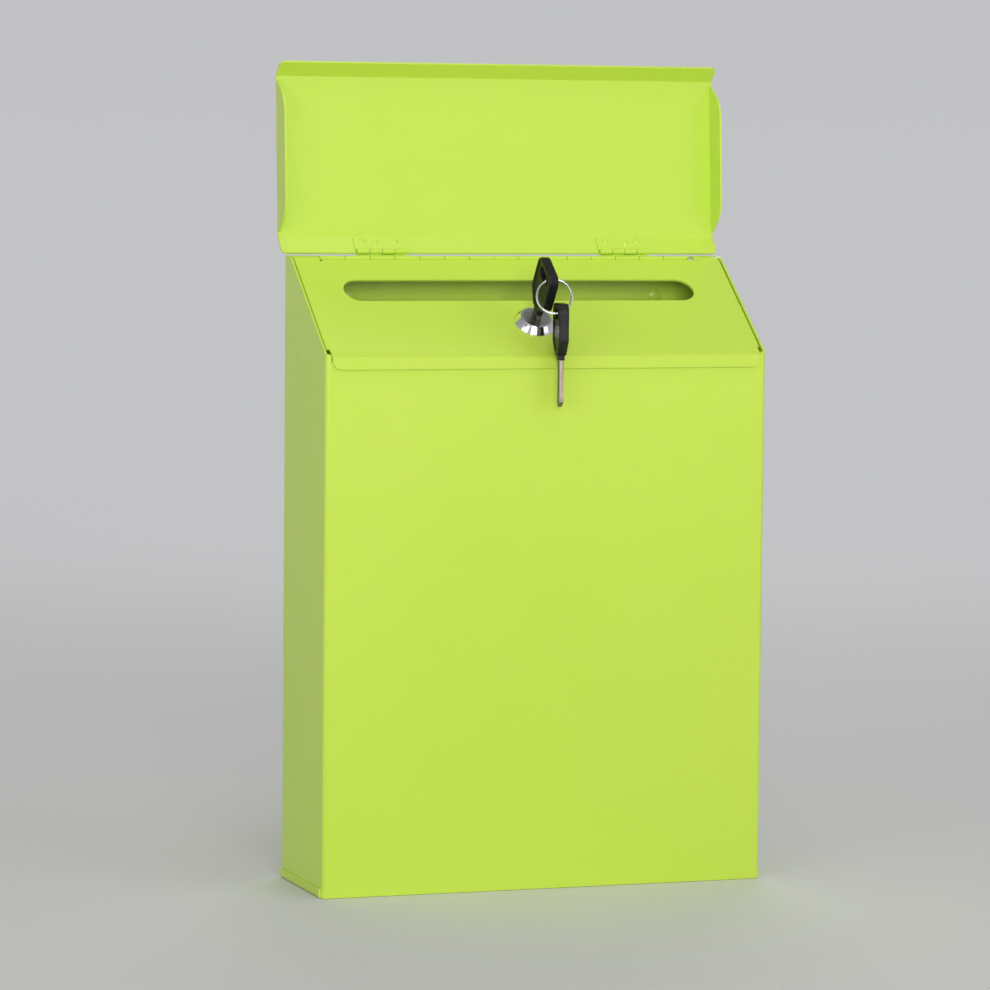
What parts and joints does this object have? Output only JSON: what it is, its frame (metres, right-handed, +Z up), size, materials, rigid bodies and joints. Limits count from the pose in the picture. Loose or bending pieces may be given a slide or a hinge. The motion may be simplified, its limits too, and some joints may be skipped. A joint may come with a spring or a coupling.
{
  "type": "wall letter box",
  "caption": "Folded-steel wall letter box with a sloping slotted lid, cam lock with keys, and a hinged rain flap standing open above it.",
  "frame": {"origin": "middle of the bottom face's rear edge, on the plane of the wall", "axes": "+Z up, -Y out of the front panel, +X to the right seen from the front"},
  "size_m": [0.223, 0.0977, 0.3907],
  "materials": {
    "powder_coat": "semi-gloss lime powder coat",
    "chrome": "polished chrome plate",
    "nickel": "worn nickel plate",
    "zinc_steel": "zinc-plated steel",
    "brass": "plain brass",
    "black_plastic": "satin moulded plastic"
  },
  "bodies": {
    "body": {"body_shell": "powder_coat", "bottom_panel": "powder_coat", "back_panel": "powder_coat", "lid_hinge_fixed_leaf": "powder_coat", "lid_hinge_pin": "zinc_steel", "flap_hinge_left_back_leaf": "powder_coat", "flap_hinge_right_back_leaf": "powder_coat", "flap_hinge_left_pin": "zinc_steel", "flap_hinge_right_pin": "zinc_steel", "back_leaf_rivets": "powder_coat"},
    "flap": {"rain_flap": "powder_coat", "flap_hinge_left_flap_leaf": "powder_coat", "flap_hinge_right_flap_leaf": "powder_coat", "flap_leaf_rivets": "powder_coat"},
    "lid": {"lid": "powder_coat", "lid_hinge_moving_leaf": "powder_coat", "lock_housing": "chrome", "lock_washer": "zinc_steel", "lock_nut": "zinc_steel"},
    "plug": {"lock_plug": "zinc_steel", "lock_wafers": "brass", "lock_cam": "zinc_steel", "cam_screw": "zinc_steel"},
    "key": {"key_blade": "nickel", "key_bow": "black_plastic"},
    "ring": {"key_ring": "nickel"},
    "spare_key": {"spare_key_blade": "nickel", "spare_key_bow": "black_plastic"}
  },
  "joints": [
    {"name": "flap_hinge", "type": "hinge", "parent": "body", "child": "flap", "pos_m": [0, -0.00022, 0.30037], "axis": [1, 0, 0], "range_deg": [0, 100]},
    {"name": "lid_hinge", "type": "hinge", "parent": "body", "child": "lid", "pos_m": [0, -0.00235, 0.297], "axis": [1, 0, 0], "range_deg": [-84, 0]},
    {"name": "lock_turn", "type": "hinge", "parent": "lid", "child": "plug", "pos_m": [-0.0009, -0.04806, 0.26775], "axis": [0, -0.6011, 0.7992], "range_deg": [0, 90]},
    {"name": "key_withdraw", "type": "slide", "parent": "plug", "child": "key", "axis": [0, 0.6011, -0.7992], "range_m": [-0.0225, 0]},
    {"name": "ring_swing", "type": "hinge", "parent": "key", "child": "ring", "pos_m": [-0.0009, -0.06817, 0.28866], "axis": [-0.9526, 0.1769, -0.2475], "range_deg": [0, 32]},
    {"name": "spare_swing", "type": "hinge", "parent": "ring", "child": "spare_key", "pos_m": [0.00288, -0.07392, 0.27369], "axis": [-0.9273, 0.1384, -0.3477], "range_deg": [-3, 28]}
  ],
  "couplings": [
    {"joint": "ring_swing", "follows": "lock_turn", "ratio": 0.35}
  ]
}
